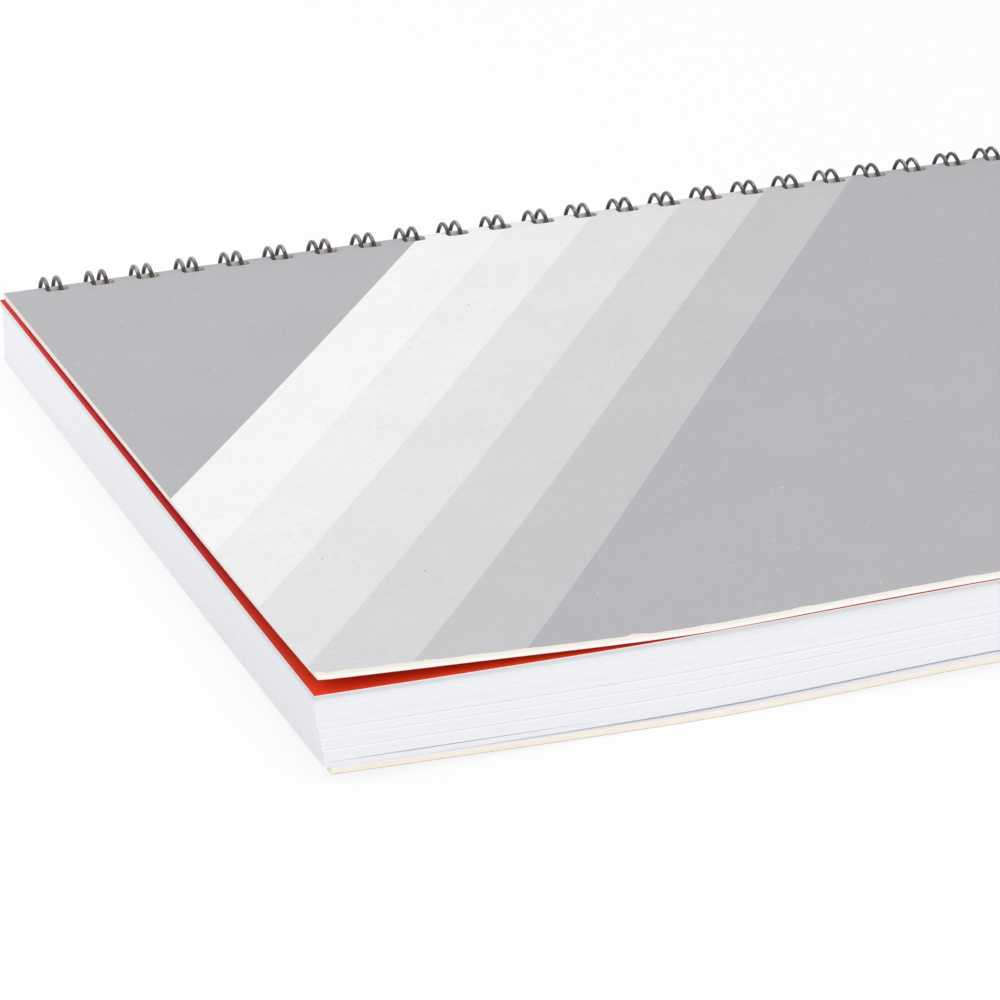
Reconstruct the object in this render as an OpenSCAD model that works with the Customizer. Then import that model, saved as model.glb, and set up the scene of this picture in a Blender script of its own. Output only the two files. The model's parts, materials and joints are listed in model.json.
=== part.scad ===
// Wire-bound notebook: two paperboard covers, a red flyleaf and a block of paper
// leaves, all threaded on one continuous twin-loop wire along the spine.
// X runs along the spine, Y from the fore-edge to the spine, and Z is up.
// The origin lies under the middle of the closed notebook, level with the wire's lowest point.

/* [Leaves] */
// Length of a leaf along the spine
leaf_w = 257; // [180:1:320]
// Depth of the flyleaf, from its fore-edge to its back edge
leaf_d = 182; // [120:1:250]
// Thickness of one paper leaf
paper_t = 0.13; // [0.08:0.01:0.2]
// Thickness of the red flyleaf
flyleaf_t = 0.25; // [0.15:0.05:0.4]
// Packets that the paper leaves turn in
packets = 16; // [8:1:20]
// Leaves in one packet
leaves_per_packet = 5; // [3:1:7]
// Air between one sheet and the next
sheet_air = 0.01; // [0.01:0.01:0.05]
// How much further the lowest leaf reaches at the fore-edge than the flyleaf
fore_edge_lean = 2.6; // [0:0.2:6]

/* [Covers] */
// Thickness of each cover board
board_t = 1; // [0.6:0.1:1.6]
// How far the ends of the covers lie inside the ends of the leaves
cover_inset = 0.8; // [0:0.1:2]
// How far the front cover's fore-edge lies behind the flyleaf's
front_setback = 0.8; // [0:0.1:3]
// How far the back cover's fore-edge reaches past the lowest leaf's
back_reach = 1.6; // [0:0.1:4]

/* [Binding] */
// Distance from one loop of the wire to the next, three loops to the inch
loop_pitch = 8.467; // [7:0.001:13]
// Diameter of the wire
wire_d = 0.9; // [0.6:0.1:1.2]
// Distance between the two strands of one loop
strand_gap = 2.4; // [2:0.1:3]
// Clear gap between a cover's face and the wire that arches over it
arch_gap = 0.55; // [0.4:0.05:2]
// Bend radius where the wire turns from one loop to the next
bend_r = 1.2; // [0.8:0.1:1.8]
// How much thicker the wire is where it is bent tight, at the tips and the bends
bend_swell = 0.02; // [0.01:0.01:0.06]
// Gap left at the seam, between a loop's tip and the bends beside it
seam_gap = 0.5; // [0.4:0.1:1]
// Clearance between the wire and the rim of a hole
hole_clearance = 0.15; // [0.12:0.01:0.4]
// Width of the strip between the holes and the back edge
edge_strip = 1.2; // [0.8:0.1:4]
// Least distance from the end of a leaf to the middle of the first hole
end_margin = 8; // [6:0.5:14]

/* [Hidden] */
$fn = 48;

// Stack of sheets, centred on the ring's axis
leaf_count = packets * leaves_per_packet;
leaf_step = paper_t + sheet_air;
stack_t = 2 * board_t + flyleaf_t + leaf_count * leaf_step + 2 * sheet_air;
stack_top = stack_t / 2;
front_cover_z = stack_top - board_t;
flyleaf_z = front_cover_z - sheet_air - flyleaf_t;
back_cover_z = -stack_top;
cover_w = leaf_w - 2 * cover_inset;

// Ring that the wire is rolled to, and its loops
wire_r = wire_d / 2;
ring_r = stack_top + arch_gap + wire_r;
loop_count = floor((leaf_w - 2 * end_margin) / loop_pitch) + 1;
first_loop_x = -(loop_count - 1) * loop_pitch / 2;
bridge_len = loop_pitch - strand_gap - 2 * bend_r;
bend_d = wire_d + bend_swell;

// Seam at the bottom of the ring: angles are taken from the lowest point towards the spine side
seam_share = 0.4;
base_angle = acos(1 - seam_share * arch_gap / ring_r);
base_u = ring_r * base_angle * PI / 180;
tip_to_bend = strand_gap / 2 + bend_r + bend_d + seam_gap;
tip_u = base_u - sqrt(pow(tip_to_bend, 2) - pow(strand_gap / 2 + bend_r, 2));
tip_angle = tip_u / ring_r * 180 / PI;
strand_sweep = 360 + tip_angle - base_angle;

// How far below the axis a point lies, at an angle on the ring and a distance along its tangent
function depth_below(angle, along) = ring_r * cos(angle) - along * sin(angle);
ring_low = max(
    ring_r + wire_r,
    depth_below(base_angle, -bend_r) + bend_d / 2,
    depth_below(tip_angle, strand_gap / 2) + bend_d / 2
);

// Where a strand crosses a height above or below the axis, dr out from its middle
function strand_y(z, dr) = -sqrt(pow(ring_r + dr, 2) - z * z);
// Middle of the hole in a sheet between two heights, so that the ring passes through it
function hole_y(z0, z1) =
    let (near = z0 * z1 < 0 ? 0 : min(abs(z0), abs(z1)), far = max(abs(z0), abs(z1)))
    (strand_y(near, wire_r) + strand_y(far, -wire_r)) / 2;
// The covers lie furthest from the axis, so the strands slant most there
strand_reach = max([
    for (z = [front_cover_z, stack_top], t = [0:10:180])
        norm([strand_gap / 2 + wire_r * sin(t), strand_y(z, wire_r * cos(t)) - hole_y(front_cover_z, stack_top)])
]);
hole_r = strand_reach + hole_clearance;

// Fore-edges, from the ring's axis
function back_edge(z, t) = hole_y(z, z + t) + hole_r + edge_strip;
flyleaf_front = back_edge(flyleaf_z, flyleaf_t) - leaf_d;
front_cover_front = flyleaf_front + front_setback;
back_cover_front = flyleaf_front - fore_edge_lean - back_reach;
function leaf_z(i) = flyleaf_z - i * leaf_step;
function leaf_front(i) = flyleaf_front - fore_edge_lean * i / leaf_count;

// The ring's axis in the notebook's frame
axis_y = -(back_cover_front + ring_r + wire_r) / 2;
axis_z = ring_low;

// Least clear gap of the wire to itself, measured on points along its middle at the seam
tip_points = [for (a = [0:15:180]) [-strand_gap / 2 * cos(a), tip_u + strand_gap / 2 * sin(a)]];
bend_points = [
    for (a = [0:15:90])
        [strand_gap / 2 + bend_r * (1 - cos(a)), base_u - bend_r * sin(a)]
];
seam_least = min([for (p = tip_points, q = bend_points) norm(p - q)]) - bend_d;
echo(wire_least_gap = min(seam_least, strand_gap - wire_d));

cover_grey = "#bcbbbf";
flyleaf_red = "#c8242a";
paper_white = "#eceef2";
board_cream = "#efe8d8";
wire_grey = "#55565a";

function two_digits(i) = str(i < 10 ? "0" : "", i);
function packet_name(p) = str("leaves_", two_digits(p));

// A row of holes, one for each loop of the wire
module hole_row(y) {
    for (k = [0:loop_count - 1])
        translate([first_loop_x + k * loop_pitch, y])
            circle(r = hole_r);
}

// One flat sheet or board, with its underside at z from the axis
module sheet(z, t, w, front) {
    translate([0, axis_y, axis_z + z])
        linear_extrude(height = t)
            difference() {
                translate([-w / 2, front])
                    square([w, back_edge(z, t) - front]);
                hole_row(hole_y(z, z + t));
            }
}

// Moves to a place on the ring: X out from the axis, Y along the ring and Z along the spine
module on_ring(x, angle) {
    translate([x, axis_y, axis_z])
        rotate([0, 90, 0])
            rotate([0, 0, angle])
                children();
}

// Arc of wire in the plane that touches the ring, from one angle through a sweep
module flat_bend(r, from, sweep) {
    translate([ring_r, 0, 0])
        rotate([0, 90, 0])
            rotate([0, 0, from])
                rotate_extrude(angle = sweep)
                    translate([r, 0])
                        circle(d = bend_d);
}

// One strand of a loop, from the base round to the tip
module strand(x) {
    on_ring(x, base_angle)
        rotate_extrude(angle = strand_sweep)
            translate([ring_r, 0])
                circle(d = wire_d);
}

// Hairpin that joins the two strands of a loop at its tip
module tip(x) {
    on_ring(x, tip_angle)
        flat_bend(strand_gap / 2, 0, 180);
}

// Bends and straight that lead from one loop to the next
module bridge(x) {
    bend_x = strand_gap / 2 + bend_r;
    on_ring(x + bend_x, base_angle)
        flat_bend(bend_r, -90, 90);
    on_ring(x + bend_x, base_angle)
        translate([ring_r, -bend_r, 0])
            cylinder(d = wire_d, h = bridge_len);
    on_ring(x + bend_x + bridge_len, base_angle)
        flat_bend(bend_r, 180, 90);
}

module front_cover() {
    color(cover_grey)
        sheet(front_cover_z, board_t, cover_w, front_cover_front);
}

module flyleaf() {
    color(flyleaf_red)
        sheet(flyleaf_z, flyleaf_t, leaf_w, flyleaf_front);
}

// Paper leaves that turn together, counted from the flyleaf down
module leaves(packet) {
    color(paper_white)
        for (k = [1:leaves_per_packet]) {
            i = (packet - 1) * leaves_per_packet + k;
            sheet(leaf_z(i), paper_t, leaf_w, leaf_front(i));
        }
}

module back_cover() {
    color(board_cream)
        sheet(back_cover_z, board_t, cover_w, back_cover_front);
}

module binding_wire() {
    color(wire_grey)
        union() {
            for (k = [0:loop_count - 1]) {
                x = first_loop_x + k * loop_pitch;
                strand(x - strand_gap / 2);
                strand(x + strand_gap / 2);
                tip(x);
                if (k < loop_count - 1)
                    bridge(x);
            }
        }
}

front_cover();
flyleaf();
for (p = [1:packets])
    leaves(p);
back_cover();
binding_wire();
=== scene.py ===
import json
import math

import bpy
import numpy as np
from mathutils import Matrix, Vector


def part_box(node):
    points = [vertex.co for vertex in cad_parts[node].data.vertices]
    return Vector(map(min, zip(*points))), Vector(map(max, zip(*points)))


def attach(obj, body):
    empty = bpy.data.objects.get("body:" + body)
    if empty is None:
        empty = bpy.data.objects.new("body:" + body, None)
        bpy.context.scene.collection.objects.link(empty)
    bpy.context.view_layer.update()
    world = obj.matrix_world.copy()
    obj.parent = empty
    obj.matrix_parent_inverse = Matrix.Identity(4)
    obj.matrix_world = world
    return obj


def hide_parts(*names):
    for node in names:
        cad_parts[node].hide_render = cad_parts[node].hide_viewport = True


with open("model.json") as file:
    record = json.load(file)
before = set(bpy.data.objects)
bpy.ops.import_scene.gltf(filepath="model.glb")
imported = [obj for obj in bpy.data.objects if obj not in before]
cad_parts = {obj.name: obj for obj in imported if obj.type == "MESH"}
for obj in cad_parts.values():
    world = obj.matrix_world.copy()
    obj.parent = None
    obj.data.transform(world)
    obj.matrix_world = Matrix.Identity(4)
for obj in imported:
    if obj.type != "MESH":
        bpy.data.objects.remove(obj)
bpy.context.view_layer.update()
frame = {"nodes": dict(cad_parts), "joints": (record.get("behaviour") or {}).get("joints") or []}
print("frame loaded:", len(frame["nodes"]), "CAD nodes")

mm = 0.001
rng = np.random.default_rng(11)

# places taken from the frame
ringY, ringZ = frame["joints"][0]["pos_m"][1:]
coverLow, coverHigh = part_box("front_cover")
cardLow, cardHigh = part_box("flyleaf")
backLow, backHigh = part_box("back_cover")
wireLow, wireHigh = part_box("binding_wire")
packetNames = sorted(name for name in frame["nodes"] if name.startswith("leaves_"))
leafEnd = cardLow.x
spineY = cardHigh.y
leafDepth = cardHigh.y - cardLow.y

binding = {
    "wire": 0.76 * mm,
    "pitch": 8.467 * mm,  # three loops to the inch
    "strandGap": 2.4 * mm,
    "bendR": 1.2 * mm,
    "seamGap": 0.52 * mm,
    "seamRise": 1.1,  # how far the seam stands up, as a share of the gap over the cover
    "halfDepth": 4.6 * mm,  # the closed loops are pressed to an upright oval
    "hole": (2.14 * mm, 1.18 * mm),  # half width and half depth of a slot with round corners
    "holeShift": 0.42 * mm,  # the strands lie towards the near end of their holes
    "holePower": 4.0,
    "edgeStrip": 0.35 * mm,  # left between a hole and the back edge
    "arcSteps": 56,
    "bendSteps": 6,
    "sides": 12,
    "crease": math.radians(60),
    "coat": (66, 65, 68),
    "bareAndHighlight": (178, 178, 182),  # painted highlight on the tops of the loops
    "highlightTop": 0.25,  # share of a loop's half height that takes the painted highlight
    "highlightLevel": (0.55, 1.0),
    "patches": (420, 4.0),  # scale and detail of a grain
    "patchy": 0.5,
    "fine": (3200, 4.0),
    "fineTint": (0.85, 1.15),
    "rough": (0.16, 0.32),
    "bump": (0.006 * mm, 0.5),  # depth and strength
    "shine": 0.5,
}
wireR = binding["wire"] / 2
ringR = wireHigh.z - ringZ - wireR
rowLength = wireHigh.x - wireLow.x - binding["strandGap"] - binding["wire"]
loopCount = round(rowLength / binding["pitch"]) + 1
loopX = [(k - (loopCount - 1) / 2) * binding["pitch"] for k in range(loopCount)]


def strandY(z):
    return ringY - binding["halfDepth"] * math.sqrt(1 - ((z - ringZ) / ringR) ** 2)


def holeMiddle(low, high):
    # a strand slants through a sheet, so the hole sits midway
    return (strandY(low) + strandY(high)) / 2


# how the closed notebook lies: lifts at the fore-edge, measured along it from the near end
curl = {
    "cover": {
        "corner": 2.75, "reach": 62, "power": 1.3,
        "sag": -0.2, "rise": 0.75, "riseFrom": 45, "riseLength": 60,
    },
    "top": {
        "corner": 0.75, "reach": 48, "power": 1.3,
        "sag": -0.25, "rise": 0.6, "riseFrom": 50, "riseLength": 62,
    },
    "bottom": {
        "corner": 1.45, "reach": 58, "power": 1.4,
        "sag": 0.0, "rise": 1.05, "riseFrom": 58, "riseLength": 52,
    },
    "straight": 0.7,  # share of the corner's lift that grows evenly from the spine
    "tipPower": 8,
    "past": 1.1,  # the lower sheets reach a little past the red card
}


def smooth(t):
    t = np.clip(t, 0, 1)
    return t * t * (3 - 2 * t)


def shareOut(y, most=1):
    # share of the way from the spine to the fore-edge
    return np.clip((spineY - y) / leafDepth, 0, most)


def liftOf(shape, x, y):
    # height that a curled sheet stands above its flat place
    along = (x - leafEnd) / mm
    out = shareOut(y, curl["past"])
    corner = shape["corner"] * np.clip(1 - along / shape["reach"], 0, 1) ** shape["power"]
    share = curl["straight"] * out + (1 - curl["straight"]) * out ** curl["tipPower"]
    rest = shape["sag"] + shape["rise"] * smooth((along - shape["riseFrom"]) / shape["riseLength"])
    return (corner * share + rest * out ** 2) * mm


def srgb(r, g, b):
    # a colour as seen on screen, made linear for the sockets
    shares = [c / 255 for c in (r, g, b)]
    linear = [((c + 0.055) / 1.055) ** 2.4 if c > 0.04 else c / 12.92 for c in shares]
    return (*linear, 1.0)


# flat layout of a punched sheet: points, faces and the border loops
def punchedLayout(left, right, front, holeY, columns, rows, perSide):
    pitch, power = binding["pitch"], binding["holePower"]
    halfWide, halfDeep = binding["hole"]
    back = holeY + halfDeep + binding["edgeStrip"]
    bandFront = holeY - pitch / 2
    points, faces, index = [], [], {}
    weld = 1e7  # places to the metre: nearer points are one

    def point(x, y):
        key = (round(x * weld), round(y * weld))
        if key not in index:
            index[key] = len(points)
            points.append((x, y))
        return index[key]

    cellEdges = [loopX[0] - pitch / 2 + k * pitch for k in range(loopCount + 1)]
    sideY = [bandFront + (back - bandFront) * j / perSide for j in range(perSide + 1)]
    leftColumns = [left + (cellEdges[0] - left) * c for c in columns["end"]] + [cellEdges[0]]
    rightColumns = [right + (cellEdges[-1] - right) * c for c in columns["end"]] + [cellEdges[-1]]
    middle = []
    for k in range(loopCount):
        middle += [cellEdges[k] + pitch * c for c in columns["cell"]]
    coarse = leftColumns[:-1] + middle + rightColumns[::-1]
    fine = [[c] for c in coarse]
    steps = [cellEdges[0] + pitch * c / perSide for c in range(loopCount * perSide + 1)]
    for x in steps:
        for j in range(len(coarse) - 1):
            if coarse[j] + 1 / weld < x < coarse[j + 1] - 1 / weld:
                fine[j].append(x)
    levels = [front + (bandFront - front) * r for r in rows]
    for r in range(len(levels)):
        for j in range(len(coarse) - 1):
            low = [point(coarse[j], levels[r]), point(coarse[j + 1], levels[r])]
            if r + 1 < len(levels):
                high = [point(coarse[j + 1], levels[r + 1]), point(coarse[j], levels[r + 1])]
            else:  # the last row meets the finer points along the holes
                high = [point(coarse[j + 1], bandFront)] + [point(x, bandFront) for x in fine[j][::-1]]
            faces.append(low + high)
    for ends in (leftColumns, rightColumns[::-1]):
        for a, b in zip(ends, ends[1:]):
            for y0, y1 in zip(sideY, sideY[1:]):
                faces.append([point(a, y0), point(b, y0), point(b, y1), point(a, y1)])
    for k, middleX in enumerate(loopX):
        cx = middleX + binding["holeShift"]
        x0, x1 = cellEdges[k], cellEdges[k + 1]
        across = [x0 + (x1 - x0) * j / perSide for j in range(perSide + 1)]
        rim = [(x, bandFront) for x in across[:-1]] + [(x1, y) for y in sideY[:-1]]
        rim += [(x, back) for x in across[:0:-1]] + [(x0, y) for y in sideY[:0:-1]]
        ring = []
        for x, y in rim:
            angle = math.atan2((y - holeY) / halfDeep, (x - cx) / halfWide)
            c, s = math.cos(angle), math.sin(angle)
            r = (abs(c) ** power + abs(s) ** power) ** (-1 / power)
            ring.append(point(cx + halfWide * r * c, holeY + halfDeep * r * s))
        outer = [point(x, y) for x, y in rim]
        for j in range(len(rim)):
            n = (j + 1) % len(rim)
            faces.append([outer[j], outer[n], ring[n], ring[j]])
    halfEdges = {(f[i], f[(i + 1) % len(f)]) for f in faces for i in range(len(f))}
    follow = {a: b for a, b in halfEdges if (b, a) not in halfEdges}
    loops = []
    while follow:
        start = min(follow)
        loop = [start]
        while follow[loop[-1]] != start:
            loop.append(follow.pop(loop[-1]))
        follow.pop(loop[-1])
        loops.append(loop)
    loops.sort(key=len, reverse=True)
    return np.array(points), faces, loops


class SheetMesh:
    # gathers closed punched sheets and makes one piece of them
    rimPly = 0.07  # share of the thickness that a rounded rim takes
    crease = math.radians(32)
    topSlot, edgeSlot, lowSlot = range(3)  # order of the materials

    def __init__(self):
        self.points, self.faces, self.slots = [], [], []
        self.marks = {"ply": [], "tone": [], "rim": []}

    def addPoints(self, xy, z, ply, tone, rim=None):
        first = len(self.points)
        self.points += [(x, y, h) for (x, y), h in zip(xy, z)]
        self.marks["ply"] += [ply] * len(xy)
        self.marks["tone"] += [tone] * len(xy)
        self.marks["rim"] += [0.0] * len(xy) if rim is None else list(rim)
        return first

    def addFace(self, face, slot):
        self.faces.append(face)
        self.slots.append(slot)

    def addSheet(self, layout, topZ, lowZ, bevel=0.0, tone=0.5, trim=None, foot=None, fray=None):
        # trim moves the outline a little, foot moves the underside's alone, fray roughens the lower rim
        points, faces, loops = layout
        outer = points[loops[0]]
        low, high = outer.min(0), outer.max(0)
        inside = np.clip(points, low + bevel, high - bevel)
        rim = (points[:, 1] - low[1]) / mm
        edge = outer
        if trim:
            inside, edge = trim(inside), trim(edge)
        sole = foot(inside) if foot else inside
        top = self.addPoints(inside, topZ(inside), 1.0, tone, rim)
        under = self.addPoints(sole, lowZ(sole), 0.0, tone)
        for f in faces:
            self.addFace([top + i for i in f], self.topSlot)
            self.addFace([under + i for i in f[::-1]], self.lowSlot)
        for n, loop in enumerate(loops):
            bands = [[top + i for i in loop], [under + i for i in loop]]
            if n == 0 and bevel:
                lowEdge = foot(edge) if foot else edge
                raised = fray(edge) if fray else 0
                upper = self.addPoints(edge, topZ(edge) - bevel, 1 - self.rimPly, tone)
                lower = self.addPoints(lowEdge, lowZ(lowEdge) + bevel + raised, self.rimPly, tone)
                count = len(loop)
                bands[1:1] = [list(range(upper, upper + count)), list(range(lower, lower + count))]
            for a, b in zip(bands, bands[1:]):
                for i in range(len(loop)):
                    j = (i + 1) % len(loop)
                    self.addFace([b[i], b[j], a[j], a[i]], self.edgeSlot)

    def makePiece(self, name, materials, body, node):
        mesh = bpy.data.meshes.new(name)
        mesh.from_pydata(self.points, [], self.faces)
        mesh.polygons.foreach_set("material_index", self.slots)
        mesh.polygons.foreach_set("use_smooth", [True] * len(self.faces))
        for key, values in self.marks.items():
            mesh.attributes.new(key, "FLOAT", "POINT").data.foreach_set("value", values)
        for material in materials:
            mesh.materials.append(material)
        mesh.set_sharp_from_angle(angle=self.crease)
        return placePiece(mesh, name, body, node)


def placePiece(mesh, name, body, node):
    piece = bpy.data.objects.new(name, mesh)
    bpy.context.scene.collection.objects.link(piece)
    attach(piece, body)
    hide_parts(node)
    return piece


# small helpers for node materials
def newMaterial(name):
    material = bpy.data.materials.new(name)
    material.use_nodes = True
    tree = material.node_tree
    shader = tree.nodes["Principled BSDF"]
    return material, tree, shader


def addNode(tree, kind, inputs=None, **settings):
    node = tree.nodes.new("ShaderNode" + kind)
    for key, value in settings.items():
        setattr(node, key, value)
    for key, value in (inputs or {}).items():
        if isinstance(value, bpy.types.NodeSocket):
            tree.links.new(value, node.inputs[key])
        else:
            node.inputs[key].default_value = value
    return node


def combine(tree, operation, a, b):
    return addNode(tree, "Math", {0: a, 1: b}, operation=operation).outputs[0]


def spread(tree, value, low, high, fromLow=0.0, fromHigh=1.0):
    inputs = {"Value": value, "From Min": fromLow, "From Max": fromHigh, "To Min": low, "To Max": high}
    return addNode(tree, "MapRange", inputs).outputs["Result"]


def mixColour(tree, factor, a, b, blend="MIX"):
    return addNode(tree, "Mix", {0: factor, 6: a, 7: b}, data_type="RGBA", blend_type=blend).outputs[2]


def objectPlace(tree, stretch=(1, 1, 1)):
    place = addNode(tree, "TexCoord").outputs["Object"]
    return addNode(tree, "VectorMath", {0: place, 1: stretch}, operation="MULTIPLY").outputs[0]


def grain(tree, place, scale, detail):
    inputs = {"Vector": place, "Scale": scale, "Detail": detail, "Roughness": 0.6}
    return addNode(tree, "TexNoise", inputs).outputs["Fac"]


def specks(tree, place, scale, size, share):
    # sparse dots: a share of the cells holds one, a little different in size
    cell = addNode(tree, "TexVoronoi", {"Vector": place, "Scale": scale})
    pick = addNode(tree, "SeparateColor", {"Color": cell.outputs["Color"]})
    chosen = combine(tree, "LESS_THAN", pick.outputs[0], share)
    radius = combine(tree, "MULTIPLY", pick.outputs[1], size)
    inside = combine(tree, "LESS_THAN", cell.outputs["Distance"], radius)
    return combine(tree, "MULTIPLY", chosen, inside)


def tint(tree, colour, value, low, high):
    # brightens and darkens a colour by a grain value
    factor = spread(tree, value, low, high)
    grey = addNode(tree, "CombineColor", {0: factor, 1: factor, 2: factor}).outputs[0]
    return mixColour(tree, 1.0, colour, grey, "MULTIPLY")


def grained(tree, place, colour, grains):
    # tints a colour by each grain in turn, and gives the first grain for the finish
    values = []
    for scale, detail, low, high in grains:
        values.append(grain(tree, place, scale, detail))
        colour = tint(tree, colour, values[-1], low, high)
    return colour, values[0]


def finish(tree, shader, colour, roughBy, bumpBy, look):
    tree.links.new(colour, shader.inputs["Base Color"])
    tree.links.new(spread(tree, roughBy, *look["rough"]), shader.inputs["Roughness"])
    depth, strength = look["bump"]
    inputs = {"Height": bumpBy, "Distance": depth, "Strength": strength}
    tree.links.new(addNode(tree, "Bump", inputs).outputs[0], shader.inputs["Normal"])
    shader.inputs["Specular IOR Level"].default_value = look["shine"]


print("helpers ready")

# front cover: grey board with a graded row of diagonal bands
frontCover = {
    "bevel": 0.09 * mm,
    "endColumns": [
        0, 0.03, 0.06, 0.09, 0.12, 0.155, 0.19, 0.23,
        0.28, 0.34, 0.41, 0.49, 0.58, 0.69, 0.83,
    ],
    "cellColumns": [0, 0.25, 0.5, 0.75],
    "nearRows": [
        0, 0.0009, 0.0018, 0.0027, 0.0036, 0.0046, 0.0057, 0.007, 0.0085,
        0.0105, 0.013, 0.016, 0.02, 0.025, 0.032, 0.041, 0.053,
    ],
    "farRows": 26,
    "holePoints": 8,
    "greyLeft": (187, 186, 190),
    "greyRight": (185, 184, 188),
    "bands": [(251, 251, 251), (244, 243, 245), (232, 232, 234), (220, 219, 222), (203, 202, 205)],
    "bandWidth": 14.03 * mm,
    "bandStart": -91.96 * mm,  # distance of the first band's edge from the origin
    "bandAngle": math.radians(53.54),
    "worn": (243, 238, 229),
    "wornReach": 0.75,  # in mm from the fore-edge
    "wornGrain": (0.5, 0.78),
    "wornPatches": (240, 2.0),
    # scale, detail and range of brightness of the grains: fibres, mottle and clouds
    "grains": [(2600, 4.0, 0.95, 1.05), (1100, 5.0, 0.91, 1.09), (55, 3.0, 0.955, 1.045)],
    "rough": (0.52, 0.68),
    "bump": (0.012 * mm, 0.7),
    "shine": 0.3,
    "paleSpecks": (520, 0.11, 0.28),  # scale, size and share of the cells
    "paleSpeck": (222, 222, 226),
    "darkSpecks": (300, 0.06, 0.1),
    "darkSpeck": (132, 128, 124),
    "core": ((243, 238, 228), (249, 246, 243), 0.55),  # upper ply, lower ply and where they meet
    "inner": ((238, 234, 226), (214, 204, 190), 0.96, 1.03),  # colour, flecks and range of the grain
    "skew": 0.85 * mm,  # the fore-edge runs out flush with the red card
    "skewFrom": 20,  # in mm from the near end
    "skewLength": 50,
    "skewDepth": 30 * mm,
    "flare": 0.5 * mm,  # the end runs out a little towards the near corner
    "flareLength": 20,
    "undercut": 0.45 * mm,
    "undercutDepth": 2 * mm,
    "overcut": 0.3 * mm,
    "overcutDepth": 3 * mm,
    "bareTip": 2.4,
    "bareTipReach": 1.9 * mm,
    # the bumped tip, in mm: its crease lies where slant[0] * u + slant[1] * v is the distance
    "tip": {
        "slant": (0.9, 1.5), "distance": 1.6, "bend": 0.2, "bendReach": 2,
        "groove": 0.24, "grooveWidth": 0.25,
        "ridge": 0.14, "ridgeAt": 0.55, "ridgeWidth": 0.3,
        "fade": 4, "underside": 0.2,
    },
    # waves of the rough lower rim, to the metre
    "fray": {"height": 0.025 * mm, "fine": 2300, "slow": 910, "phase": 1.3, "end": 1700, "endShare": 0.6},
}


def coverPrint():
    material, tree, shader = newMaterial("coverPrint")
    place = objectPlace(tree)
    width, angle = frontCover["bandWidth"], frontCover["bandAngle"]
    across = (math.sin(angle) / width, -math.cos(angle) / width, 0)
    along = addNode(tree, "VectorMath", {0: place, 1: across}, operation="DOT_PRODUCT").outputs["Value"]
    count = len(frontCover["bands"])
    fields = count + 2
    first = frontCover["bandStart"] / width
    step = spread(tree, along, 0, 1, first - 1, first + count + 1)
    ramp = addNode(tree, "ValToRGB", {"Fac": step})
    ramp.color_ramp.interpolation = "CONSTANT"
    colours = [frontCover["greyLeft"]] + frontCover["bands"] + [frontCover["greyRight"]]
    for n, colour in enumerate(colours):
        stop = ramp.color_ramp.elements[0] if n == 0 else ramp.color_ramp.elements.new(n / fields)
        stop.color = srgb(*colour)
    ramp.color_ramp.elements.remove(ramp.color_ramp.elements[-1])
    colour, fine = grained(tree, place, ramp.outputs["Color"], frontCover["grains"])
    for kind in ("pale", "dark"):
        dots = specks(tree, place, *frontCover[kind + "Specks"])
        colour = mixColour(tree, dots, colour, srgb(*frontCover[kind + "Speck"]))
    # the print is rubbed off in places along the fore-edge
    rim = addNode(tree, "Attribute", attribute_name="rim").outputs["Fac"]
    patches = grain(tree, place, *frontCover["wornPatches"])
    reach = spread(tree, patches, 0.0, frontCover["wornReach"], *frontCover["wornGrain"])
    colour = mixColour(tree, combine(tree, "LESS_THAN", rim, reach), colour, srgb(*frontCover["worn"]))
    finish(tree, shader, colour, fine, fine, frontCover)
    return material


# finish of cut edges and plain faces, shared by the boards and the card
board = {
    "fibre": (260, 260, 5200),  # stretched along the sheet
    "wander": 0.12,  # how far the line between two plies strays
    "blend": 0.08,
    "fibreDetail": 5.0,
    "fibreTint": (0.93, 1.05),
    "fleck": (1500, 3.0),
    "coreSpecks": (420, 0.05, 0.1),
    "coreSpeck": (176, 158, 132),
    "coreLook": {"rough": (0.75, 0.95), "bump": (0.05 * mm, 0.6), "shine": 0.15},
    "faceFine": (1900, 4.0),
    "faceCloud": (40, 3.0, 0.98, 1.02),
    "faceSpecks": (260, 0.06, 0.2),
    "faceLook": {"rough": (0.6, 0.8), "bump": (0.015 * mm, 0.6), "shine": 0.25},
}


def boardCore(name, upper, lower, split):
    # cut edge of a board: pressed fibres in two plies
    material, tree, shader = newMaterial(name)
    fibre = grain(tree, objectPlace(tree, board["fibre"]), 1.0, board["fibreDetail"])
    fleck = grain(tree, objectPlace(tree), *board["fleck"])
    ply = addNode(tree, "Attribute", attribute_name="ply").outputs["Fac"]
    wander = combine(tree, "ADD", ply, spread(tree, fleck, -board["wander"], board["wander"]))
    share = spread(tree, wander, 0, 1, split - board["blend"], split + board["blend"])
    colour = mixColour(tree, share, srgb(*lower), srgb(*upper))
    colour = tint(tree, colour, fibre, *board["fibreTint"])
    dots = specks(tree, objectPlace(tree), *board["coreSpecks"])
    colour = mixColour(tree, dots, colour, srgb(*board["coreSpeck"]))
    finish(tree, shader, colour, fleck, fibre, board["coreLook"])
    return material


def plainBoard(name, colour, fleckColour, low, high):
    material, tree, shader = newMaterial(name)
    place = objectPlace(tree)
    grains = [(*board["faceFine"], low, high), board["faceCloud"]]
    shade, fine = grained(tree, place, srgb(*colour), grains)
    shade = mixColour(tree, specks(tree, place, *board["faceSpecks"]), shade, srgb(*fleckColour))
    finish(tree, shader, shade, fine, fine, board["faceLook"])
    return material


def columnsOf(piece):
    return {"end": piece["endColumns"], "cell": piece["cellColumns"]}


def rowsOf(piece):
    # close together at the fore-edge, then evenly on to the holes
    near, count = piece["nearRows"], piece["farRows"]
    last = near[-1]
    return near + [last + (1 - last) * (k + 1) / (count + 1) for k in range(count)]


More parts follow.
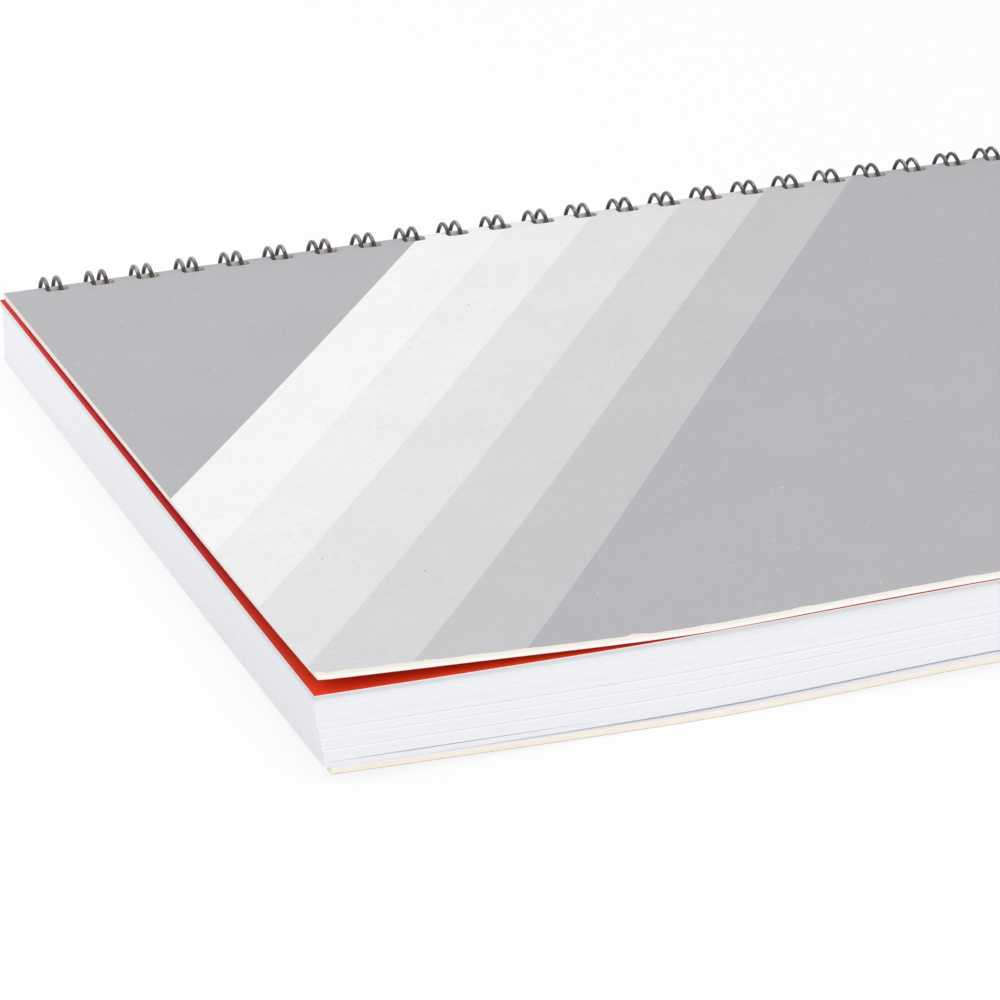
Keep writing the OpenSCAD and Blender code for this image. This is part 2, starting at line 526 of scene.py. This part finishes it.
def makeFrontCover():
    layout = punchedLayout(
        coverLow.x, coverHigh.x, coverLow.y, holeMiddle(coverLow.z, coverHigh.z),
        columnsOf(frontCover), rowsOf(frontCover), frontCover["holePoints"],
    )

    tip, waves = frontCover["tip"], frontCover["fray"]

    def crumple(xy):
        # the bumped tip of the near corner: bent up along a crease
        u, v = (xy[:, 0] - coverLow.x) / mm, (xy[:, 1] - coverLow.y) / mm
        toCrease = tip["slant"][0] * u + tip["slant"][1] * v - tip["distance"]
        groove = np.exp(-(toCrease / tip["grooveWidth"]) ** 2)
        ridge = np.exp(-((toCrease - tip["ridgeAt"]) / tip["ridgeWidth"]) ** 2)
        bent = tip["bend"] * np.clip(-toCrease, 0, tip["bendReach"])
        bent = bent - tip["groove"] * groove + tip["ridge"] * ridge
        return bent * np.exp(-(u + v) / tip["fade"]) * mm

    def trim(xy):
        along = (xy[:, 0] - leafEnd) / mm
        near = np.clip(1 - (xy[:, 1] - coverLow.y) / frontCover["skewDepth"], 0, 1)
        atEnd = np.clip(1 - along / frontCover["flareLength"], 0, 1)
        skewed = smooth((along - frontCover["skewFrom"]) / frontCover["skewLength"])
        moved = xy.copy()
        moved[:, 0] -= frontCover["flare"] * shareOut(xy[:, 1]) ** 2 * atEnd
        moved[:, 1] -= frontCover["skew"] * skewed * near
        return moved

    def foot(xy):
        # the knife leaned over, so the near end slants in below and the fore-edge out
        atEnd = np.clip(1 - (xy[:, 0] - coverLow.x) / frontCover["undercutDepth"], 0, 1)
        atFront = np.clip(1 - (xy[:, 1] - coverLow.y) / frontCover["overcutDepth"], 0, 1)
        moved = xy.copy()
        moved[:, 0] += frontCover["undercut"] * shareOut(xy[:, 1]) ** 2 * atEnd
        moved[:, 1] -= frontCover["overcut"] * atFront
        return moved

    def flatLift(xy):
        return liftOf(curl["cover"], xy[:, 0], xy[:, 1])

    def topZ(xy):
        return coverHigh.z + flatLift(xy) + crumple(xy)

    def lowZ(xy):
        return coverLow.z + flatLift(xy) + tip["underside"] * crumple(xy)

    def fray(xy):
        x, y = xy[:, 0], xy[:, 1]
        front = np.sin(x * waves["fine"]) * np.sin(x * waves["slow"] + waves["phase"])
        return (front + waves["endShare"] * np.sin(y * waves["end"])) * waves["height"]

    sheet = SheetMesh()
    sheet.addSheet(layout, topZ, lowZ, frontCover["bevel"], trim=trim, foot=foot, fray=fray)
    # the bumped tip has lost its print
    fromTip = np.array(sheet.points)[:, :2] - (coverLow.x, coverLow.y)
    bareAndHighlight = np.clip(1 - fromTip.sum(1) / frontCover["bareTipReach"], 0, 1)
    sheet.marks["rim"] = list(np.array(sheet.marks["rim"]) - frontCover["bareTip"] * bareAndHighlight)
    core = boardCore("coverCore", *frontCover["core"])
    inner = plainBoard("coverInner", *frontCover["inner"])
    sheet.makePiece("coverFront", [coverPrint(), core, inner], "front_cover", "front_cover")
    print("front cover made:", len(sheet.faces), "faces")


# red card under the cover
card = {
    "endColumns": [0, 0.15, 0.35, 0.65],
    "cellColumns": [0, 0.5],
    "rows": [
        0, 0.01, 0.025, 0.045, 0.07, 0.1, 0.15, 0.2,
        0.27, 0.35, 0.45, 0.55, 0.65, 0.75, 0.85, 0.95,
    ],
    "holePoints": 6,
    "bevel": 0.02 * mm,
    "red": (250, 70, 20),
    "redDeep": (232, 50, 20),
    "redCool": (206, 32, 38),
    "warmTo": -90 * mm,
    "coolFrom": -30 * mm,
    "cloud": (70, 3.0),
    "fine": (2200, 4.0),
    "fineTint": (0.92, 1.08),
    "rough": (0.5, 0.65),
    "bump": (0.012 * mm, 0.7),
    "shine": 0.3,
    "specks": (300, 0.04, 0.12),
    "speck": (232, 96, 72),
    # upper ply: the red print on the cut edge, darker than the face red as painted shade of the gap under
    # the cover; lower ply: the white core
    "core": ((176, 44, 36), (252, 236, 230), 0.74),
    "back": ((240, 236, 230), (222, 212, 202), 0.97, 1.03),
}


def redCard():
    material, tree, shader = newMaterial("redCard")
    place = objectPlace(tree)
    fine = grain(tree, place, *card["fine"])
    cloud = grain(tree, place, *card["cloud"])
    warm = mixColour(tree, cloud, srgb(*card["red"]), srgb(*card["redDeep"]))
    inward = addNode(tree, "SeparateXYZ", {0: place}).outputs[1]
    # the red runs deeper and cooler away from the fore-edge
    coolShare = spread(tree, inward, 0, 1, card["warmTo"], card["coolFrom"])
    colour = mixColour(tree, coolShare, warm, srgb(*card["redCool"]))
    colour = tint(tree, colour, fine, *card["fineTint"])
    colour = mixColour(tree, specks(tree, place, *card["specks"]), colour, srgb(*card["speck"]))
    finish(tree, shader, colour, fine, fine, card)
    return material


def makeCard():
    layout = punchedLayout(
        cardLow.x, cardHigh.x, cardLow.y, holeMiddle(cardLow.z, cardHigh.z),
        columnsOf(card), card["rows"], card["holePoints"],
    )

    def topZ(xy):
        return cardHigh.z + liftOf(curl["top"], xy[:, 0], xy[:, 1])

    def lowZ(xy):
        return cardLow.z + liftOf(curl["top"], xy[:, 0], xy[:, 1])

    sheet = SheetMesh()
    sheet.addSheet(layout, topZ, lowZ, card["bevel"])
    core = boardCore("cardCore", *card["core"])
    back = plainBoard("cardBack", *card["back"])
    sheet.makePiece("cardFlyleaf", [redCard(), core, back], "flyleaf", "flyleaf")
    print("flyleaf made:", len(sheet.faces), "faces")


# the block of leaves, each leaf a closed sheet of its own
block = {
    "leavesInPacket": 5,
    "gap": 0.002 * mm,
    "endColumns": [0, 0.5],
    "cellColumns": [0],
    "rows": [0, 0.03, 0.08, 0.15, 0.25, 0.37, 0.5, 0.63, 0.76, 0.88],
    "holePoints": 4,
    "tuck": 0.4 * mm,  # the first leaf lies a little behind the red card
    "lean": 1.48 * mm,
    # share of the block where a step lies, how far it stands out and how far in from the end
    "steps": [(0.486, 0.45, 0.2), (0.6, 0.25, 0.0), (0.766, 0.3, 0.15)],
    "shaded": (2, 8),  # leaves in the shade of the card, and where it ends
    "shade": 0.9,
    "loose": 0.02 * mm,
    # leaf below an opening at the fore-edge, its height and where it starts to close, in mm
    "openings": [(39, 0.02, 90), (48, 0.015, 90), (61, 0.02, 90), (74, 0.14, 200)],
    "openFrom": -4,
    "openLength": 20,
    "closed": 0.55,  # share that an opening closes by
    "closeLength": 55,
    "lowerGap": 0.19 * mm,  # over the back cover
    "lowerFrom": 8,
    "lowerLength": 55,
    "openPower": 4,
    "ownThickness": 0.9,  # share of the pitch that a leaf above an opening fills
    "inwardReach": 4.5 * mm,
    "white": (239, 240, 244),
    "fine": (2400, 4.0),
    "fineTint": (0.985, 1.015),
    "streak": (90, 90, 9000),  # stretched along the leaf
    "streakDetail": 3.0,
    "streakTint": (0.985, 1.015),
    "rough": (0.7, 0.85),
    "bump": (0.008 * mm, 0.6),
    "shine": 0.2,
    "toneRange": (0.76, 1.1),
    # ledge is a painted highlight on the leaf that starts a step, above a painted shade on the leaf over
    # it
    "tone": {"base": 0.34, "band": 0.14, "leaf": 0.1, "ledge": 0.5, "above": 0.2},
    "bandLeaves": 3,
}


def leafPaper():
    material, tree, shader = newMaterial("leafPaper")
    place = objectPlace(tree)
    fine = grain(tree, place, *block["fine"])
    streak = grain(tree, objectPlace(tree, block["streak"]), 1.0, block["streakDetail"])
    tone = addNode(tree, "Attribute", attribute_name="tone").outputs["Fac"]
    colour = tint(tree, srgb(*block["white"]), fine, *block["fineTint"])
    colour = tint(tree, colour, tone, *block["toneRange"])
    colour = tint(tree, colour, streak, *block["streakTint"])
    finish(tree, shader, colour, fine, fine, block)
    return material


def makeLeaves():
    paper = leafPaper()
    leafCount = len(packetNames) * block["leavesInPacket"]
    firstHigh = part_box(packetNames[0])[1]
    pitch = (firstHigh.z - backHigh.z) / leafCount
    tones = block["tone"]
    dark, light = block["shaded"]
    overOpenings = [leaf for leaf, height, closing in block["openings"]] + [leafCount]

    def surface(i, xy):
        # height of the top of leaf i; leaf number leafCount stands for the back cover's inner face
        x, y = xy[:, 0], xy[:, 1]
        depth = i / leafCount
        along = (x - leafEnd) / mm
        opens = shareOut(y, curl["past"]) ** block["openPower"]
        flat = firstHigh.z - pitch * i
        lift = liftOf(curl["top"], x, y) * (1 - depth) + liftOf(curl["bottom"], x, y) * depth
        for leaf, height, closing in block["openings"]:
            if i < leaf:
                wide = smooth((along - block["openFrom"]) / block["openLength"])
                wide = wide * (1 - block["closed"] * smooth((along - closing) / block["closeLength"]))
                lift = lift + height * mm * wide * opens * i / leaf
        if block["openings"][-1][0] <= i < leafCount:
            wide = smooth((along - block["lowerFrom"]) / block["lowerLength"])
            lift = lift + block["lowerGap"] * wide * opens
        return flat + lift

    for p, name in enumerate(packetNames):
        sheet = SheetMesh()
        for k in range(block["leavesInPacket"]):
            i = p * block["leavesInPacket"] + k
            depth = i / (leafCount - 1)
            outward = block["lean"] * depth - block["tuck"] * (1 - depth)
            inward = 0
            # ledge marks the leaf that gets the painted highlight (1) and the leaf that gets the painted
            # shade (-1) at a step
            ledge = 0
            for start, step, endStep in block["steps"]:
                if depth >= start:
                    outward += step * mm
                    inward += endStep * mm
                if start <= depth < start + 1 / leafCount:
                    ledge = 1
                if start - 1 / leafCount <= depth < start:
                    ledge = -1
            outward += rng.uniform(-1, 1) * block["loose"]
            inward += rng.uniform(0, 1) * block["loose"]
            if i % block["bandLeaves"] == 0:
                bandTone = rng.uniform(0, 1)
            tone = tones["base"] + tones["band"] * bandTone + tones["leaf"] * rng.uniform(0, 1)
            # painted highlight on the leaf at each step's ledge and painted shade on the leaf above it
            tone += tones["ledge"] * max(ledge, 0) + tones["above"] * min(ledge, 0)
            tone -= block["shade"] * float(1 - smooth((i - dark) / (light - dark)))
            top = firstHigh.z - pitch * i
            holeY = holeMiddle(top - pitch, top)
            right = cardHigh.x - rng.uniform(0, 1) * block["loose"]
            layout = punchedLayout(
                cardLow.x, right, cardLow.y - outward, holeY,
                columnsOf(block), block["rows"], block["holePoints"],
            )

            def trim(xy, inward=inward):
                atEnd = np.clip(1 - (xy[:, 0] - cardLow.x) / block["inwardReach"], 0, 1)
                moved = xy.copy()
                moved[:, 0] += inward * shareOut(xy[:, 1]) * atEnd
                return moved

            def topZ(xy, i=i):
                return surface(i, xy)

            def lowZ(xy, i=i):
                if i + 1 in overOpenings:  # the leaf above an opening keeps its own thickness
                    return surface(i, xy) - pitch * block["ownThickness"]
                return surface(i + 1, xy) + block["gap"]

            # tones run from about -1 to 1, and the material takes 0 to 1
            sheet.addSheet(layout, topZ, lowZ, tone=(tone + 1) / 2, trim=trim)
        sheet.makePiece("packet" + name[-2:], [paper, paper, paper], name, name)
    print("leaves made:", leafCount, "in", len(packetNames), "packets")


# back cover: the same board, cream at the edge and grey outside
backCover = {
    "bevel": 0.12 * mm,
    "skew": 1.2 * mm,  # the fore-edge falls back towards the near corner
    "skewLength": 110,
    "skewDepth": 30 * mm,
    "endIn": 0.4 * mm,
    "endInLength": 5,
    "inner": ((240, 240, 243), (226, 225, 228), 0.97, 1.03),
    # cut edge: cream, darker tan along its lowest tenth
    "core": ((247, 240, 226), (206, 190, 162), 0.1),
    "outer": ((186, 185, 189), (206, 206, 208), 0.965, 1.035),
    "endColumns": [0, 0.06, 0.14, 0.25, 0.4, 0.6, 0.8],
    "cellColumns": [0, 0.5],
    "nearRows": [0, 0.004, 0.01, 0.02, 0.035, 0.055, 0.08],
    "farRows": 14,
    "holePoints": 8,
}


def makeBackCover():
    layout = punchedLayout(
        backLow.x, backHigh.x, backLow.y, holeMiddle(backLow.z, backHigh.z),
        columnsOf(backCover), rowsOf(backCover), backCover["holePoints"],
    )

    def topZ(xy):
        return backHigh.z + liftOf(curl["bottom"], xy[:, 0], xy[:, 1])

    def lowZ(xy):
        return backLow.z + liftOf(curl["bottom"], xy[:, 0], xy[:, 1])

    def trim(xy):
        along = (xy[:, 0] - leafEnd) / mm
        near = np.clip(1 - (xy[:, 1] - backLow.y) / backCover["skewDepth"], 0, 1)
        moved = xy.copy()
        moved[:, 0] += backCover["endIn"] * np.clip(1 - along / backCover["endInLength"], 0, 1)
        moved[:, 1] += backCover["skew"] * (1 - smooth(along / backCover["skewLength"])) * near
        return moved

    sheet = SheetMesh()
    sheet.addSheet(layout, topZ, lowZ, backCover["bevel"], trim=trim)
    inner = plainBoard("backInner", *backCover["inner"])
    core = boardCore("backCore", *backCover["core"])
    outer = plainBoard("backOuter", *backCover["outer"])
    sheet.makePiece("coverBack", [inner, core, outer], "back", "back_cover")
    print("back cover made:", len(sheet.faces), "faces")


# one wire, bent to a row of double loops
def wirePath():
    gap, bendR = binding["strandGap"], binding["bendR"]
    archGap = ringR - wireR - (coverHigh.z - ringZ)
    base = math.acos(1 - binding["seamRise"] * archGap / ringR)
    tipToBend = gap / 2 + bendR + binding["wire"] + binding["seamGap"]
    depth = binding["halfDepth"]
    baseY = depth * math.sin(base)
    tipY = baseY - math.sqrt(tipToBend ** 2 - (gap / 2 + bendR) ** 2)

    def onRing(x, angle):
        # angle from the lowest point towards the spine side
        return Vector((x, ringY + depth * math.sin(angle), ringZ - ringR * math.cos(angle)))

    def atSeam(x, y):
        return onRing(x, math.asin(y / depth))

    path = []
    steps, bends = binding["arcSteps"], binding["bendSteps"]
    sweep = 2 * math.pi + math.asin(tipY / depth) - base
    bridge = binding["pitch"] - gap - 2 * bendR
    for k, x in enumerate(loopX):
        left, right = x - gap / 2, x + gap / 2
        path += [onRing(left, base + sweep * j / steps) for j in range(steps + 1)]
        for j in range(1, 2 * bends):
            turn = math.pi * j / (2 * bends)
            path.append(atSeam(x - gap / 2 * math.cos(turn), tipY + gap / 2 * math.sin(turn)))
        path += [onRing(right, base + sweep * (1 - j / steps)) for j in range(steps + 1)]
        if k + 1 < loopCount:
            for j in range(1, bends + 1):
                turn = math.pi / 2 * j / bends
                along = right + bendR * (1 - math.cos(turn))
                path.append(atSeam(along, baseY - bendR * math.sin(turn)))
            for j in range(bends):
                turn = math.pi / 2 * (1 - j / bends)
                along = right + bendR + bridge + bendR * math.cos(turn)
                path.append(atSeam(along, baseY - bendR * math.sin(turn)))
    return path


def wireSteel():
    material, tree, shader = newMaterial("wireSteel")
    place = objectPlace(tree)
    fine = grain(tree, place, *binding["fine"])
    patch = grain(tree, place, *binding["patches"])
    # dark coating, with a painted highlight on top of the loops, broken up by a grain
    highlightMask = addNode(tree, "Attribute", attribute_name="highlightMask").outputs["Fac"]
    highlightLevel = combine(tree, "ADD", highlightMask, spread(tree, patch, -binding["patchy"], binding["patchy"]))
    share = spread(tree, highlightLevel, 0, 1, *binding["highlightLevel"])
    colour = mixColour(tree, share, srgb(*binding["coat"]), srgb(*binding["bareAndHighlight"]))
    colour = tint(tree, colour, fine, *binding["fineTint"])
    finish(tree, shader, colour, fine, fine, binding)
    shader.inputs["Metallic"].default_value = 1.0
    return material


def makeWire():
    path = wirePath()
    sides = binding["sides"]
    points, faces, highlightMask = [], [], []
    across = Vector((1, 0, 0))
    for n, here in enumerate(path):
        ahead = (path[min(n + 1, len(path) - 1)] - path[max(n - 1, 0)]).normalized()
        across = (across - ahead * across.dot(ahead)).normalized()
        up = ahead.cross(across)
        outward = Vector((0, here.y - ringY, here.z - ringZ)).normalized()
        # where the painted highlight falls: the outward side of the wire near the top of each loop
        onTop = float(smooth(1 - (1 - (here.z - ringZ) / ringR) / binding["highlightTop"]))
        for s in range(sides):
            turn = 2 * math.pi * s / sides
            side = across * math.cos(turn) + up * math.sin(turn)
            points.append(here + side * wireR)
            highlightMask.append(max(0, side.dot(outward)) * onTop)
        if n:
            a, b = (n - 1) * sides, n * sides
            for s in range(sides):
                t = (s + 1) % sides
                faces.append((a + s, a + t, b + t, b + s))
    last = (len(path) - 1) * sides
    faces.append(tuple(range(sides))[::-1])
    faces.append(tuple(last + s for s in range(sides)))
    mesh = bpy.data.meshes.new("wireLoops")
    mesh.from_pydata(points, [], faces)
    mesh.polygons.foreach_set("use_smooth", [True] * len(faces))
    mesh.attributes.new("highlightMask", "FLOAT", "POINT").data.foreach_set("value", highlightMask)
    mesh.materials.append(wireSteel())
    mesh.set_sharp_from_angle(angle=binding["crease"])
    placePiece(mesh, "wireLoops", "back", "binding_wire")
    print("wire made:", loopCount, "loops,", len(path), "rings")


# floor under the wire and the fore-edge, camera and soft light
stage = {
    "azimuth": math.radians(19.727),
    "elevation": math.radians(22.483),
    "roll": math.radians(-1.255),
    "distance": 699.3 * mm,
    "target": (-78.341 * mm, -34.532 * mm),
    "lens": 159.07,
    "sensor": 36,
    "clip": (0.05, 50),
    "floorSize": 6.0,
    "floorGap": 0.05 * mm,  # under the fore-edge
    "floorWhite": 0.95,
    "floorRough": 0.9,
    "floorGlow": 0.88,
    "worldLight": 0.7,
    # name, power, place and size
    "lights": [
        ("key", 1.4, (0.25, -0.35, 1.0), 0.25),
        ("front", 2.8, (0.1, -1.1, 0.4), 0.8),
        ("end", 0.66, (-0.5, 0.3, 0.25), 0.3),
    ],
}


def makeCamera():
    a, e, r = stage["azimuth"], stage["elevation"], stage["roll"]
    back = Vector((-math.sin(a) * math.cos(e), -math.cos(a) * math.cos(e), math.sin(e)))
    side = Vector((math.cos(a), -math.sin(a), 0))
    up = back.cross(side)
    right = side * math.cos(r) + up * math.sin(r)
    above = up * math.cos(r) - side * math.sin(r)
    data = bpy.data.cameras.new("photoCamera")
    data.sensor_width = stage["sensor"]
    data.lens = stage["lens"]
    data.clip_start, data.clip_end = stage["clip"]
    camera = bpy.data.objects.new("photoCamera", data)
    bpy.context.scene.collection.objects.link(camera)
    place = Vector((stage["target"][0], stage["target"][1], cardHigh.z)) + back * stage["distance"]
    camera.matrix_world = Matrix((
        (right.x, above.x, back.x, place.x),
        (right.y, above.y, back.y, place.y),
        (right.z, above.z, back.z, place.z),
        (0, 0, 0, 1),
    ))
    bpy.context.scene.camera = camera


def seenDirectly(tree):
    path = addNode(tree, "LightPath")
    seen = combine(tree, "MAXIMUM", path.outputs["Is Camera Ray"], path.outputs["Is Glossy Ray"])
    return combine(tree, "MAXIMUM", seen, path.outputs["Is Transmission Ray"])


def makeFloor():
    half = stage["floorSize"] / 2
    low = ringZ - ringR - wireR
    # it slopes, so that the fore-edge and the loops both rest on it
    slope = (backLow.z - stage["floorGap"] - low) / (ringY - backLow.y)
    corners = [(-half, -half), (half, -half), (half, half), (-half, half)]
    mesh = bpy.data.meshes.new("floor")
    mesh.from_pydata([(x, y, low + (ringY - y) * slope) for x, y in corners], [], [(0, 1, 2, 3)])
    material, tree, shader = newMaterial("paleFloor")
    shader.inputs["Base Color"].default_value = (*[stage["floorWhite"]] * 3, 1)
    shader.inputs["Roughness"].default_value = stage["floorRough"]
    glow = addNode(tree, "Emission", {"Color": (1, 1, 1, 1), "Strength": 1.0})
    share = combine(tree, "MULTIPLY", seenDirectly(tree), stage["floorGlow"])
    mixed = addNode(tree, "MixShader", {0: share, 1: shader.outputs[0], 2: glow.outputs[0]})
    tree.links.new(mixed.outputs[0], tree.nodes["Material Output"].inputs["Surface"])
    mesh.materials.append(material)
    floor = bpy.data.objects.new("floor", mesh)
    bpy.context.scene.collection.objects.link(floor)


def makeLight():
    world = bpy.data.worlds.new("studio")
    bpy.context.scene.world = world
    world.use_nodes = True
    tree = world.node_tree
    sky = tree.nodes["Background"]
    tree.links.new(spread(tree, seenDirectly(tree), stage["worldLight"], 1.0), sky.inputs["Strength"])
    sky.inputs["Color"].default_value = (1, 1, 1, 1)
    for name, power, place, size in stage["lights"]:
        data = bpy.data.lights.new(name, "AREA")
        data.energy, data.size = power, size
        lamp = bpy.data.objects.new(name, data)
        lamp.location = place
        lamp.rotation_euler = (-lamp.location).to_track_quat("-Z", "Y").to_euler()
        bpy.context.scene.collection.objects.link(lamp)
    bpy.context.scene.view_settings.view_transform = "Standard"


makeFrontCover()
makeCard()
makeLeaves()
makeBackCover()
makeWire()
makeCamera()
makeFloor()
makeLight()
print("stage set")
